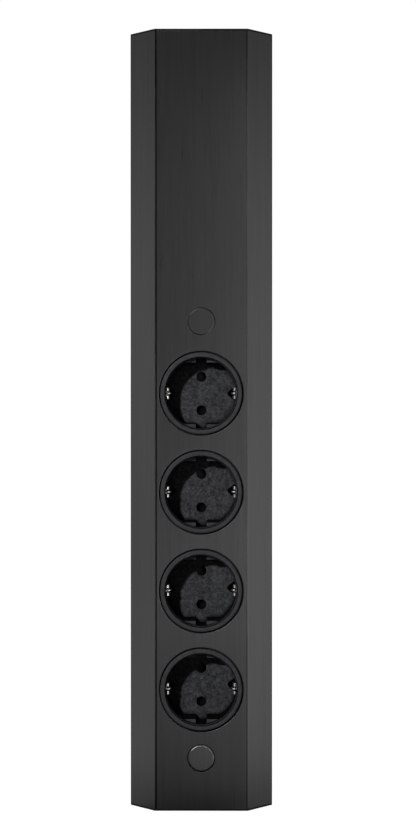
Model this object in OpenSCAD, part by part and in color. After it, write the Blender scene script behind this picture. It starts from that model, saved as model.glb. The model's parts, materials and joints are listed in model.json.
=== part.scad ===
// Corner socket tower: a black aluminium column that stands in the corner of a room.
// Four earthed two-pin sockets sit in its flat front, one above the other, between two round
// cover caps that hide the fixing screws. Its two wings meet the walls square on.
// Lengths are in millimetres. Modules are drawn with y = 0 on the flat front, y growing towards
// the room's corner, and z = 0 at the foot. The last lines move that to the part's own origin,
// which is the middle of its foot.

/* [Tower] */
// Overall height
tower_h = 435; // [400:1:600]
// Width of the front plate beside the hole for a socket's ring
plate_border = 1.65; // [1.4:0.05:4]
// Depth of the open corner behind the rear cover
corner_room = 12.7; // [12:0.1:20]
// Thickness of the extruded wings
wing_t = 1.8; // [1.4:0.1:2.2]
// Thickness of the extruded web behind the front plate
web_t = 1.6; // [1.2:0.1:2.4]
// Thickness of the brushed front plate
plate_t = 2; // [1.5:0.1:2.5]
// Width of the shadow groove on each side of the front plate
groove_w = 0.5; // [0.3:0.05:0.7]
// Thickness of the plastic rear cover
cover_t = 2; // [1.6:0.1:2.4]
// Thickness of the rim of each end cap that shows from the front
rim_t = 1; // [1:0.1:2]

/* [Layout] */
// Height of the lower fixing screw above the foot
lower_fixing_z = 29.5; // [26:0.5:40]
// Gap between the lower cover cap and the ring of the lowest socket
lower_gap = 7.85; // [6:0.05:20]
// Gap between the rings of neighbouring sockets
socket_gap = 9.4; // [5:0.1:16]
// Gap between the ring of the highest socket and the upper cover cap
upper_gap = 9.85; // [6:0.05:20]
// Distance from the upper fixing screw up to the underside of the terminal block
terminal_gap = 28; // [26:0.5:36]

/* [Socket] */
// Width of the ring round a recess
ring_w = 2.8; // [2.5:0.1:3.4]
// How far the ring stands in front of the front plate
ring_proud = 0.4; // [0.2:0.1:0.8]
// Thickness of the socket's barrel at the mouth
barrel_t = 1.7; // [1.5:0.1:2]
// Diameter of the recess at its mouth
mouth_d = 40; // [39.6:0.1:40.4]
// How far the recess narrows on each side, from its mouth to its floor
recess_draft = 0.4; // [0.2:0.05:0.6]
// Depth of the recess
recess_depth = 17.5; // [17.5:0.1:18.5]
// Distance between the two pin holes
pin_pitch = 19; // [19:0.1:19.4]
// Diameter of a pin hole
pin_hole_d = 5.3; // [5:0.1:5.5]
// Length of a plug's pin
pin_len = 19; // [18:0.5:20]
// Height of a guide rib over the recess wall
rib_rise = 3.2; // [3:0.1:3.4]
// Width of the key way between two guide ribs
key_w = 6; // [5.5:0.1:6.5]
// How far a guide rib's end lies below the ring's front
rib_drop = 5; // [3:0.1:7]
// Width of the earth strap
strap_w = 6.2; // [5.6:0.1:6.8]
// Thickness of the earth strap
strap_t = 0.8; // [0.6:0.1:1]
// How far an earth contact stands in from the recess wall
clip_rise = 2.6; // [2.2:0.1:3.2]

/* [Caps and fixings] */
// Diameter of a round cover cap
cap_d = 14.7; // [14:0.1:15.5]
// How far the upper cap stands in front of the front plate
upper_cap_proud = 0.3; // [0.1:0.1:1]
// How far the lower cap stands in front of the front plate
lower_cap_proud = 1; // [0.8:0.1:1.5]
// Diameter of the fixing screws
fixing_d = 4; // [3.5:0.1:4.2]
// Diameter of a wall screw's hole in a corner bracket
wall_hole_d = 4.5; // [4:0.1:5]
// Height of a corner bracket
bracket_h = 34; // [32:1:40]
// Bore of the cable grommet
cable_d = 8; // [6.5:0.1:8.5]

/* [Hidden] */
$fn = 48;
overrun = 1;         // how far a cut runs past the faces that it opens
merge = 0.2;         // how deep two shapes of one piece run into each other
root_two = sqrt(2);

// Socket ring, barrel and floor
web_back = plate_t + web_t;
mouth_r = mouth_d / 2;
mouth_edge = 0.35;
ring_r = mouth_r + ring_w;
ring_gap = 0.6;
ring_edge = 0.5;
barrel_r = mouth_r + barrel_t;
barrel_gap = 0.1;
floor_r = mouth_r - recess_draft;
rib_reach = floor_r - rib_rise;               // from the middle of the recess to a rib's flat side
clip_reach = floor_r - clip_rise;
floor_front = recess_depth - ring_proud;
floor_t = 2.2;
floor_back = floor_front + floor_t;
insert_rim = 1;                               // how far the insert reaches under the collar
insert_r = floor_r + insert_rim;
insert_play = 0.05;
snap_r = insert_r + insert_play + merge;
snap_reach = 0.5;
snap_len = 1.6;
pin_hole_r = pin_hole_d / 2;
pin_entry = 0.5;
rib_bite = 0.8;                               // how far a guide rib runs into the barrel's wall
slot_play = 0.3;
slot_floor_cut = 0.7;
claw_angles = [45, 135, 225, 315];            // also where the snaps behind the insert stand
claw_spread = 14;
claw_reach = 0.8;
claw_len = 3;
claw_gap = 0.1;

// Shutter and its chamber
chamber = 4.8;
base_front = floor_back + chamber;
shutter_gap = 0.3;
pivot_r = 1.5;
pivot_play = 0.08;
hub_r = 3.3;
hub_back_gap = 0.2;
flag_side = 0.45;                             // the flag's reach past the pin hole on each side
flag_under = 1.05;
flag_over = 0.85;
flag_half = pin_hole_r + flag_side;
flag_in = pin_pitch / 2 - pin_hole_r - flag_under;
flag_out = pin_pitch / 2 + pin_hole_r + flag_over;
flag_gap = 0.7;
flag_back = base_front - flag_gap;
ramp_rise = 2.3;
arm_half = 1.5;
arm_t = 2.2;
coil_r = 3.9;
coil_wire = 0.4;
coil_turns = 2.375;
coil_pitch = 0.46;
coil_sides = 6;
coil_steps = 24;
leg_angle = -20;                              // where the spring's fixed leg leaves the coil
leg_len = 4;
push_len = 1.6;
peg_r = 0.8;
peg_share = 0.85;                             // how far along the fixed leg its peg stands
leg_shares = [1, 0.66, 0.33];
push_shares = [0.5, 1];
nub_r = 0.5;
touch = 0.08;

// Base, earth strap and contacts
base_inset = 2.7;
base_r = barrel_r - base_inset;
skirt_t = 1.8;
disc_t = 3.4;
block_half_x = 10.8;
block_over = 7;                               // the block's reach above and below the pins
pin_end_room = 0.9;
block_back = floor_front + pin_len + pin_end_room;
strap_set = 1;
strap_front = base_front + strap_set;
strap_back = strap_front + strap_t;
strap_inset = 0.6;
strap_out = barrel_r - strap_inset;
strap_bend = 1.2;
clip_front = 2.6;
clip_apex = 6.8;
clip_root = 11;
clip_lead = 1;                                // how much wider the clips stand at their tips than at the bend
bead_half = 0.8;
bead_rise = 0.6;
boss_r = 2.7;
boss_gap = 0.3;
boss_reach = base_r - skirt_t - boss_gap - boss_r;
boss_angles = [23, 203];
joint_screw_d = 2.4;
joint_screw_play = 0.05;
joint_head_d = 4.2;
joint_head_t = 1.6;
joint_head_play = 0.1;
joint_screw_len = 6.5;
guide_r = 2.8;
contact_r = 3.2;
contact_bore_r = 2.45;
contact_slit = 1.2;
contact_play = 0.4;
contact_set = 0.2;
contact_seat = 2.4;
contact_front = base_front + contact_seat;
contact_back = floor_front + pin_len;
tab_t = 0.8;
tab_w = 5;
tab_play = 0.3;
tab_inset = 2.1;
tab_front = contact_back - tab_inset;

// Bus bars, rivets and wires
bar_t = 0.8;
bar_w = 6;
bar_gap = 0.4;
bar_x = block_half_x + bar_gap;
bar_inset = 0.1;
bar_back = contact_back - bar_inset;
bar_end = 6;                                  // how far a bar runs past its last tab
bar_rise = 14;                                // how far the bars run above the highest pin
earth_x = 6.2;                                // the earth bar and its rivets lie beside the pivots
earth_w = 5;
earth_gap = 0.2;
earth_front = block_back + earth_gap;
earth_back = earth_front + bar_t;
rivet_r = 1.2;
rivet_play = 0.05;
rivet_head_r = 2;
rivet_head_t = 0.8;
crimp_r = 2.2;
crimp_len = 9;
crimp_foot = 2;
wire_r = 1.4;
wire_play = 0.1;
wire_in = 5;
wire_sides = 8;
wire_steps = 26;

// Rear cover and the space behind it
rear_gap = 1.4;
cover_in = earth_back + rear_gap;
cover_out = cover_in + cover_t;

// Section of the column
corner_y = cover_out + corner_room;           // where the room's two walls meet
fold_land = 0.35;
plate_half = ring_r + ring_gap + plate_border;
plate_edge = 0.25;
front_half = plate_half + groove_w + fold_land;
wing_run = (corner_y - front_half) / 2;
half_w = front_half + wing_run;
wing_len = wing_run * root_two;
lip_len = 8;
lip_t = 1.6;
tongue_t = 1.6;
tongue_play = 0.2;
tongue_start = 1.2;                           // from the wing to the tongue's edge
rib_t = 1.2;
rib_len = 4.2;
cover_set = 0.3;                              // the cover's face lies this far off the wall
cover_overlap = 1.2;

// Screw ports of the column and their screws
end_screw_d = 2.9;
end_screw_len = 13;
end_head_d = 4.8;
end_head_sink = 0.1;
port_play = 0.05;
port_wall = 1.1;
port_r = end_screw_d / 2 + port_play + port_wall;
port_slot = 1.4;
front_port_inset = 0.2;
rear_port_reach = 7.4;

// Fixing screws, spacers and caps
fixing_r = fixing_d / 2;
fixing_play = 0.25;
head_share = 1.95;                            // the head's radius over the screw's
head_r = fixing_r * head_share;
head_t = 2.4;
head_set = 0.8;
head_front = web_back + head_set;
cross_w = 0.9;
cross_depth = 1.2;
spacer_wall = 2.5;
spacer_r = fixing_r + spacer_wall;
spigot_room = 1.1;
spigot_r = head_r + spigot_room;
spigot_play = 0.1;
spigot_wall = 0.8;
spigot_reach = 0.5;
spigot_end = web_back + spigot_reach;
spigot_slit = 1.2;
seat_wall = 1.2;
cap_r = cap_d / 2;
cap_gap = 0.45;
cap_edge = 0.5;
cap_seat_gap = 0.1;
cap_skin = 1.2;

// Corner brackets
leg_t = 2;
bracket_gap = 0.3;
bridge_t = 2.5;
bridge_h = 14;
nut_r = 4;
thread_play = 0.05;
apex_cut = 2;
wall_hole_inset = 6;
wall_hole_rise = bracket_h / 2 - wall_hole_inset;
legs_meet = corner_y - leg_t * root_two;      // where the inner faces of the two legs meet
screw_tip = legs_meet - fixing_r - fixing_play;
nut_end = legs_meet - nut_r + merge;

// End caps
plug_len = 4;
plug_play = 0.3;
plug_wall = 1.8;
plug_inset = 0.3;
plug_half = barrel_r - plug_inset;

// Terminal block
pole_pitch = 10;
block_rim = 0.5;
block_w = 3 * pole_pitch + 2 * block_rim;
block_front = 22;
block_step = 34;
block_h = 24;
block_neck = 8;
pole_y = 28;
pocket_x = 7;
pocket_y = 8;
clamp_play = 0.2;
clamp_inset = 3;
clamp_h = block_h - 2 * clamp_inset;
clamp_bore_r = 1.6;
clamp_screw_r = 1.25;
clamp_head_r = 2;
clamp_head_t = 1.6;
clamp_screw_rise = clamp_inset + clamp_head_r;
neck_screw_r = 1.45;
neck_head_r = 2.8;
neck_screw_len = 9;

// Grommet
grommet_wall = 2;
grommet_flange = 2;
grommet_lip_t = 2;

// Heights
socket_pitch = 2 * ring_r + socket_gap;
lowest_socket_z = lower_fixing_z + cap_r + lower_gap + ring_r;
highest_socket_z = lowest_socket_z + 3 * socket_pitch;
upper_fixing_z = highest_socket_z + ring_r + upper_gap + cap_r;
terminal_z = upper_fixing_z + terminal_gap;
inlet_z = (terminal_z + block_h + tower_h) / 2;
bar_top = highest_socket_z + pin_pitch / 2 + bar_rise;

// The origin is the middle of the foot
front_most = max(ring_proud, upper_cap_proud, lower_cap_proud);
back_most = corner_y - apex_cut;
shift_y = -(back_most - front_most) / 2;

SOCKET_PIECES = [
    "collar", "insert", "base", "earth_strap", "line_contact", "neutral_contact", "shutter",
    "shutter_spring"
];

// Sockets are counted from the top, as 1 to 4
function socket_node(k, piece) = str("socket_", k, "_", piece);

function socket_z(k) = highest_socket_z - (k - 1) * socket_pitch;

// A point s along a wall from the wing's outer face and o in front of that wall
function wall_point(s, o) = [half_w - (s + o) / root_two, wing_run + (s - o) / root_two];

function mirrored(p) = [-p[0], p[1]];

function reversed(list) = [for (i = [len(list) - 1:-1:0]) list[i]];

// A closed outline from its right half, listed from the front middle to the back middle
function both_halves(right) = concat(right, [for (p = reversed(right)) mirrored(p)]);

function unit(v) = v / norm(v);

// The outline of a strip of thickness t that follows a bent line
function strip_side(path, t, side) = [
    for (i = [0:len(path) - 1])
        let (
            a = unit(path[min(i + 1, len(path) - 1)] - path[i == len(path) - 1 ? i - 1 : i]),
            b = unit(path[i == 0 ? 1 : i] - path[max(i - 1, 0)]),
            m = unit(a + b),
            reach = t / 2 / (m * a)
        )
        path[i] + side * reach * [-m[1], m[0]]
];

function strip_outline(path, t) =
    concat(strip_side(path, t, 1), reversed(strip_side(path, t, -1)));

// Rings of points round a path, for a wire of radius r
function path_way(path, i) =
    unit(path[min(i + 1, len(path) - 1)] - path[max(i - 1, 0)]);

function wire_points(path, r, sides) = [
    for (i = [0:len(path) - 1])
        let (
            way = path_way(path, i),
            across = unit(cross(way, [0, 1, 0])),
            up = cross(across, way)
        )
        for (k = [0:sides - 1])
            path[i] + r * (cos(360 * k / sides) * across + sin(360 * k / sides) * up)
];

module wire(path, r, sides) {
    last = (len(path) - 1) * sides;
    polyhedron(
        points = wire_points(path, r, sides),
        faces = concat(
            [[for (k = [0:sides - 1]) k]],
            [[for (k = [sides - 1:-1:0]) last + k]],
            [for (i = [0:len(path) - 2]) for (k = [0:sides - 1]) let (n = (k + 1) % sides)
                [i * sides + k, (i + 1) * sides + k, (i + 1) * sides + n]],
            [for (i = [0:len(path) - 2]) for (k = [0:sides - 1]) let (n = (k + 1) % sides)
                [i * sides + k, (i + 1) * sides + n, i * sides + n]]
        )
    );
}

// Turns a shape drawn along z so that it runs along y, from the front to the back
module into_depth() {
    rotate([-90, 0, 0]) children();
}

// A round bar along y from depth a to depth b
module rod(r, a, b) {
    translate([0, a, 0]) into_depth() cylinder(r = r, h = b - a);
}

// A cone along y from depth a to depth b
module taper(ra, rb, a, b) {
    translate([0, a, 0]) into_depth() cylinder(r1 = ra, r2 = rb, h = b - a);
}

// A block between two corners
module block(low, high) {
    translate(low) cube(high - low);
}

module both_sides() {
    children();
    mirror([1, 0, 0]) children();
}

// Puts a shape at a distance and angle round the middle of a socket, seen from the front
module round_the_middle(reach, angle) {
    translate([reach * cos(angle), 0, reach * sin(angle)]) children();
}

// Local x runs along the right wall from the wing, local y away from that wall
module on_right_wall() {
    translate([half_w, wing_run]) rotate(135) children();
}

// Section of the column

front_port = [plate_half + port_r + front_port_inset - port_wall, web_back + port_r - merge];
rear_port = wall_point(wing_t + port_r - merge * 2, rear_port_reach);

module port_ring(at, slot_turn) {
    translate(at) difference() {
        circle(r = port_r);
        circle(r = end_screw_d / 2 + port_play);
        rotate(slot_turn) translate([0, -port_slot / 2]) square([port_r + overrun, port_slot]);
    }
}

module profile_right_half() {
    on_right_wall() {
        square([wing_t, wing_len - wing_t]);
        square([lip_len, lip_t]);
        translate([wing_t - merge, lip_t + tongue_t + 2 * tongue_play]) square([rib_len + merge, rib_t]);
    }
    polygon([
        [front_half - fold_land, 0],
        [front_half, 0],
        [front_half + web_back, web_back],
        [front_half - fold_land, web_back]
    ]);
    translate([0, plate_t]) square([front_half, web_t]);
    port_ring(front_port, 90);
    port_ring(rear_port, 135);
}

module profile() {
    color([0.16, 0.16, 0.17]) difference() {
        translate([0, 0, rim_t]) linear_extrude(tower_h - 2 * rim_t) {
            profile_right_half();
            mirror([1, 0]) profile_right_half();
        }
        for (k = [1:4]) translate([0, 0, socket_z(k)])
            rod(barrel_r + barrel_gap, plate_t - overrun, web_back + overrun);
        for (z = [lower_fixing_z, upper_fixing_z]) translate([0, 0, z])
            rod(spigot_r + spigot_play, plate_t - overrun, web_back + overrun);
    }
}

module front_plate() {
    color([0.2, 0.2, 0.21]) difference() {
        translate([0, 0, rim_t]) linear_extrude(tower_h - 2 * rim_t) polygon(both_halves([
            [plate_half - plate_edge, 0],
            [plate_half, plate_edge],
            [plate_half, plate_t]
        ]));
        for (k = [1:4]) translate([0, 0, socket_z(k)])
            rod(ring_r + ring_gap, -overrun, plate_t + overrun);
        for (z = [lower_fixing_z, upper_fixing_z]) translate([0, 0, z])
            rod(cap_r + cap_gap, -overrun, plate_t + overrun);
    }
}

// Rear cover, slid in from one end and held by its two tongues

cover_edge = cover_set + cover_t;
cover_out_x = corner_y - cover_set * root_two - cover_out;
cover_in_x = corner_y - cover_edge * root_two - cover_in;
cover_start = lip_len + cover_set;

module cover_right_half() {
    polygon([
        [0, cover_in],
        [cover_in_x, cover_in],
        wall_point(cover_start, cover_edge),
        wall_point(cover_start, cover_set),
        [cover_out_x, cover_out],
        [0, cover_out]
    ]);
    on_right_wall() translate([wing_t + tongue_start, lip_t + tongue_play])
        square([cover_start + cover_overlap - wing_t - tongue_start, tongue_t]);
}

module rear_cover() {
    color([0.1, 0.1, 0.1]) difference() {
        translate([0, 0, rim_t]) linear_extrude(tower_h - 2 * rim_t) {
            cover_right_half();
            mirror([1, 0]) cover_right_half();
        }
        for (z = [lower_fixing_z, upper_fixing_z]) translate([0, 0, z])
            rod(fixing_r + fixing_play, cover_in - overrun, cover_out + overrun);
        translate([0, 0, inlet_z])
            rod(cable_d / 2 + grommet_wall, cover_in - overrun, cover_out + overrun);
        translate([0, 0, terminal_z + block_h / 2]) {
            rod(neck_screw_r + port_play, cover_in - overrun, cover_out + overrun);
            taper(neck_screw_r + port_play, neck_head_r + port_play,
                cover_out - (neck_head_r - neck_screw_r), cover_out);
        }
    }
}

// End caps: a thin rim with the column's outline, and a plug inside the column

function plug_outline(inset) = both_halves([
    [plug_half - inset, web_back + plug_play + inset],
    [plug_half - inset, corner_y - (cover_edge + plug_play + inset) * root_two - plug_half + inset],
    [corner_y - (cover_edge + plug_play + inset) * root_two - cover_in + plug_play + inset,
        cover_in - plug_play - inset]
]);

module each_port() {
    both_sides() {
        translate(front_port) children();
        translate(rear_port) children();
    }
}

module end_cap() {
    difference() {
        union() {
            linear_extrude(rim_t) polygon(both_halves([
                [front_half, 0],
                [half_w, wing_run],
                [corner_room, cover_out]
            ]));
            linear_extrude(rim_t + plug_len) difference() {
                polygon(plug_outline(0));
                polygon(plug_outline(plug_wall));
            }
        }
        each_port() {
            translate([0, 0, -overrun])
                cylinder(r = end_screw_d / 2 + port_play, h = rim_t + 2 * overrun);
            cylinder(r1 = end_head_d / 2 + port_play, r2 = end_screw_d / 2 + port_play,
                h = (end_head_d - end_screw_d) / 2);
        }
    }
}

module bottom_end_cap() {
    color([0.07, 0.07, 0.07]) end_cap();
}

module top_end_cap() {
    color([0.07, 0.07, 0.07]) translate([0, 0, tower_h]) mirror([0, 0, 1]) end_cap();
}

module end_screw() {
    difference() {
        union() {
            cylinder(r1 = end_head_d / 2 - end_head_sink, r2 = end_screw_d / 2,
                h = (end_head_d - end_screw_d) / 2 - end_head_sink);
            cylinder(r = end_screw_d / 2, h = end_screw_len);
        }
        for (turn = [0, 90]) rotate(turn)
            translate([-end_head_d / 4, -cross_w / 2, -overrun])
                cube([end_head_d / 2, cross_w, overrun + cross_depth / 2]);
    }
}

module end_cap_screws() {
    color([0.3, 0.3, 0.32]) {
        each_port() translate([0, 0, end_head_sink]) end_screw();
        translate([0, 0, tower_h]) mirror([0, 0, 1])
            each_port() translate([0, 0, end_head_sink]) end_screw();
    }
}

// Fixing: a cap in front, a screw behind it, a spacer round the screw, a bracket in the corner

module cover_cap(proud) {
    color([0.2, 0.2, 0.21]) {
        difference() {
            into_depth() rotate_extrude() polygon([
                [0, -proud],
                [cap_r - cap_edge, -proud],
                [cap_r, cap_edge - proud],
                [cap_r, plate_t - cap_seat_gap],
                [spigot_r, plate_t - cap_seat_gap],
                [spigot_r, spigot_end],
                [spigot_r - spigot_wall, spigot_end],
                [spigot_r - spigot_wall, cap_skin - proud],
                [0, cap_skin - proud]
            ]);
            for (turn = [0, 90]) rotate([0, turn, 0]) block(
                [-spigot_r - overrun, plate_t - cap_seat_gap, -spigot_slit / 2],
                [spigot_r + overrun, spigot_end + overrun, spigot_slit / 2]);
        }
    }
}

module fixing_screws() {
    color([0.72, 0.72, 0.74]) for (z = [lower_fixing_z, upper_fixing_z]) translate([0, 0, z])
        difference() {
        union() {
            rod(head_r, head_front, head_front + head_t);
            rod(fixing_r, head_front, screw_tip);
        }
        for (turn = [0, 90]) rotate([0, turn, 0]) block(
            [-head_r / 2, head_front - overrun, -cross_w / 2],
            [head_r / 2, head_front + cross_depth, cross_w / 2]);
    }
}

module spacer() {
    color([0.75, 0.75, 0.73]) difference() {
        union() {
            rod(spigot_r + spigot_play + seat_wall, web_back, head_front + head_t + seat_wall);
            rod(spacer_r, web_back, cover_in);
        }
        rod(fixing_r + fixing_play, web_back - overrun, cover_in + overrun);
        rod(spigot_r + spigot_play, web_back - overrun, head_front + head_t);
    }
}

module corner_bracket() {
    bracket_front = cover_out + bracket_gap;
    tip = corner_room - bracket_gap;
    color([0.6, 0.6, 0.62]) difference() {
        union() {
            translate([0, 0, -bracket_h / 2]) linear_extrude(bracket_h) polygon(both_halves([
                [0, legs_meet],
                [legs_meet - bracket_front, bracket_front],
                [tip, bracket_front],
                [apex_cut, corner_y - apex_cut],
                [0, corner_y - apex_cut]
            ]));
            translate([0, 0, -bridge_h / 2]) linear_extrude(bridge_h) polygon(both_halves([
                [0, bracket_front],
                [tip, bracket_front],
                [tip - bridge_t, bracket_front + bridge_t],
                [0, bracket_front + bridge_t]
            ]));
            rod(nut_r, bracket_front, nut_end);
        }
        rod(fixing_r + thread_play, bracket_front - overrun, nut_end + overrun);
        for (side = [-1, 1])
            translate([side * corner_room / 2, corner_y - corner_room / 2, side * wall_hole_rise])
                rotate([0, 0, -side * 45]) rod(wall_hole_d / 2, -corner_room / 2, leg_t);
    }
}

module cable_grommet() {
    wall_r = cable_d / 2 + grommet_wall;
    color([0.05, 0.05, 0.05]) translate([0, 0, inlet_z]) into_depth() rotate_extrude() polygon([
        [cable_d / 2, cover_in - grommet_lip_t],
        [wall_r + grommet_flange - plate_edge, cover_in - grommet_lip_t],
        [wall_r + grommet_flange, cover_in],
        [wall_r, cover_in],
        [wall_r, cover_out],
        [wall_r + grommet_flange, cover_out],
        [wall_r + grommet_flange - plate_edge, cover_out + grommet_lip_t],
        [cable_d / 2, cover_out + grommet_lip_t]
    ]);
}

// Terminal block, screwed to the inside of the rear cover

module each_pole() {
    for (i = [-1:1]) translate([i * pole_pitch, 0, terminal_z]) children();
}

module each_clamp_screw() {
    each_pole() for (z = [clamp_screw_rise, block_h - clamp_screw_rise]) translate([0, 0, z]) children();
}

module terminal_block() {
    color([0.85, 0.85, 0.82]) difference() {
        union() {
            block([-block_w / 2, block_front, terminal_z], [block_w / 2, block_step, terminal_z + block_h]);
            block([-block_neck, block_step, terminal_z], [block_neck, cover_in, terminal_z + block_h]);
        }
        each_pole() block([-pocket_x / 2, pole_y - pocket_y / 2, -overrun],
            [pocket_x / 2, pole_y + pocket_y / 2, block_h + overrun]);
        each_clamp_screw() rod(clamp_head_r + clamp_play, block_front - overrun, pole_y);
        translate([0, 0, terminal_z + block_h / 2])
            rod(neck_screw_r + port_play, cover_out - neck_screw_len - overrun, cover_in + overrun);
    }
}

module terminal_clamps() {
    color([0.78, 0.62, 0.3]) difference() {
        each_pole() block(
            [clamp_play - pocket_x / 2, pole_y - pocket_y / 2 + clamp_play, (block_h - clamp_h) / 2],
            [pocket_x / 2 - clamp_play, pole_y + pocket_y / 2 - clamp_play, (block_h + clamp_h) / 2]);
        each_pole() translate([0, pole_y, -overrun]) cylinder(r = clamp_bore_r, h = block_h + 2 * overrun);
        each_clamp_screw() rod(clamp_screw_r + port_play, block_front, pole_y);
    }
}

module terminal_screws() {
    head_back = pole_y - pocket_y / 2;
    color([0.7, 0.7, 0.72]) each_clamp_screw() difference() {
        union() {
            rod(clamp_head_r, head_back - clamp_head_t, head_back);
            rod(clamp_screw_r, head_back - merge, pole_y - clamp_bore_r);
        }
        block([-clamp_head_r - overrun, head_back - clamp_head_t - overrun, -cross_w / 2],
            [clamp_head_r + overrun, head_back - clamp_head_t + cross_w, cross_w / 2]);
    }
}

module terminal_fixing_screw() {
    color([0.7, 0.7, 0.72]) translate([0, 0, terminal_z + block_h / 2]) difference() {
        union() {
            rod(neck_screw_r, cover_out - neck_screw_len, cover_out);
            taper(neck_screw_r, neck_head_r, cover_out - (neck_head_r - neck_screw_r), cover_out);
        }
        for (turn = [0, 90]) rotate([0, turn, 0]) block(
            [-neck_head_r / 2, cover_out - cross_depth / 2, -cross_w / 2],
            [neck_head_r / 2, cover_out + overrun, cross_w / 2]);
    }
}

// Bus bars, their rivets and the three short wires up to the terminal block

module crimp(at, low) {
    translate([at[0], at[1], low]) difference() {
        cylinder(r = crimp_r, h = crimp_len);
        translate([0, 0, crimp_foot]) cylinder(r = wire_r + wire_play, h = crimp_len);
    }
}

pole_crimp_at = [bar_x + bar_t + crimp_r - merge, bar_back - bar_w / 2];
earth_crimp_at = [earth_x, earth_front + merge - crimp_r];

// side is -1 for the line bar and 1 for the neutral bar, which meets the lower pins
module pole_bar(side) {
    low = lowest_socket_z - side * pin_pitch / 2 - bar_end;
    color([0.8, 0.6, 0.3]) {
        block([side > 0 ? bar_x : -bar_x - bar_t, bar_back - bar_w, low],
            [side > 0 ? bar_x + bar_t : -bar_x, bar_back, bar_top + crimp_foot]);
        crimp([side * pole_crimp_at[0], pole_crimp_at[1]], bar_top);
    }
}

module earth_bus_bar() {
    color([0.8, 0.6, 0.3]) difference() {
        union() {
            block([earth_x - earth_w / 2, earth_front, lowest_socket_z - bar_end],
                [earth_x + earth_w / 2, earth_back, bar_top + crimp_foot]);
            crimp(earth_crimp_at, bar_top);
        }
        for (k = [1:4]) translate([earth_x, 0, socket_z(k)])
            rod(rivet_r + rivet_play, earth_front - overrun, earth_back + overrun);
    }
}

module earth_rivets() {
    color([0.75, 0.72, 0.65]) for (k = [1:4]) translate([earth_x, 0, socket_z(k)]) {
        rod(rivet_head_r, strap_front - rivet_head_t, strap_front);
        rod(rivet_r, strap_front - merge, earth_back + merge);
        rod(rivet_head_r, earth_back, earth_back + rivet_head_t);
    }
}

function eased(t) = t <= 0 ? 0 : t >= 1 ? 1 : t * t * (3 - 2 * t);

// A wire that rises straight out of its crimp, swings over, and rises straight into its pole
function riser(from, to) =
    let (
        low = bar_top + crimp_foot,
        high = terminal_z + wire_in,
        swing_low = upper_fixing_z + spacer_r,
        swing_high = terminal_z
    )
    [for (i = [0:wire_steps])
        let (
            z = low + (high - low) * i / wire_steps,
            t = eased((z - swing_low) / (swing_high - swing_low))
        )
        [from[0] + (to[0] - from[0]) * t, from[1] + (to[1] - from[1]) * t, z]];

module feed_wire(from, pole, shade) {
    color(shade) wire(riser(from, [pole * pole_pitch, pole_y]), wire_r, wire_sides);
}

module line_wire() {
    feed_wire(mirrored(pole_crimp_at), -1, [0.4, 0.22, 0.1]);
}

module neutral_wire() {
    feed_wire(pole_crimp_at, 1, [0.1, 0.25, 0.6]);
}

module earth_wire() {
    feed_wire(earth_crimp_at, 0, [0.3, 0.6, 0.15]);
}

// One socket, drawn round its own middle

module key_ribs() {
    difference() {
        intersection() {
            rod(floor_r + rib_bite, rib_drop - ring_proud, floor_front);
            union() {
                block([-ring_r, 0, rib_reach], [ring_r, floor_back, ring_r]);
                block([-ring_r, 0, -ring_r], [ring_r, floor_back, -rib_reach]);
            }
        }
        block([-key_w / 2, -overrun, -ring_r], [key_w / 2, floor_back, ring_r]);
    }
}

module clip_slots() {
    both_sides() block(
        [floor_r - slot_floor_cut, clip_front - slot_play - strap_t, -strap_w / 2 - slot_play],
        [ring_r, floor_back + overrun, strap_w / 2 + slot_play]);
}

module socket_collar() {
    color([0.12, 0.12, 0.13]) difference() {
        union() {
            into_depth() rotate_extrude() polygon([
                [floor_r, floor_front],
                [mouth_r, mouth_edge - ring_proud],
                [mouth_r + mouth_edge, -ring_proud],
                [ring_r - ring_edge, -ring_proud],
                [ring_r, ring_edge - ring_proud],
                [ring_r, plate_t],
                [barrel_r, plate_t],
                [barrel_r, floor_back],
                [insert_r + insert_play, floor_back],
                [insert_r + insert_play, floor_front]
            ]);
            key_ribs();
            for (a = claw_angles) into_depth() rotate(a - claw_spread / 2)
                rotate_extrude(angle = claw_spread) {
                    polygon([
                        [barrel_r - merge, web_back + claw_gap],
                        [barrel_r + claw_reach, web_back + claw_gap],
                        [barrel_r - merge, web_back + claw_gap + claw_len]
                    ]);
                    polygon([
                        [snap_r, floor_back - merge],
                        [snap_r, floor_back + insert_play],
                        [insert_r - snap_reach, floor_back + insert_play],
                        [insert_r - snap_reach, floor_back + snap_reach],
                        [snap_r, floor_back + snap_len],
                        [barrel_r - merge, floor_back + snap_len],
                        [barrel_r - merge, floor_back - merge]
                    ]);
                }
        }
        clip_slots();
    }
}

module socket_insert() {
    color([0.12, 0.12, 0.13]) difference() {
        union() {
            rod(insert_r, floor_front, floor_back);
            for (a = boss_angles) round_the_middle(boss_reach, a)
                rod(boss_r, floor_back - merge, base_front);
            translate(spring_peg_at) rod(peg_r, floor_back - merge, flag_back);
        }
        for (z = [-pin_pitch / 2, pin_pitch / 2]) translate([0, 0, z]) {
            rod(pin_hole_r, floor_front - overrun, floor_back + overrun);
            taper(pin_hole_r + pin_entry, pin_hole_r, floor_front, floor_front + pin_entry);
        }
        clip_slots();
        for (a = boss_angles) round_the_middle(boss_reach, a)
            rod(joint_screw_d / 2 + joint_screw_play, floor_back, base_front + overrun);
    }
}

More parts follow.
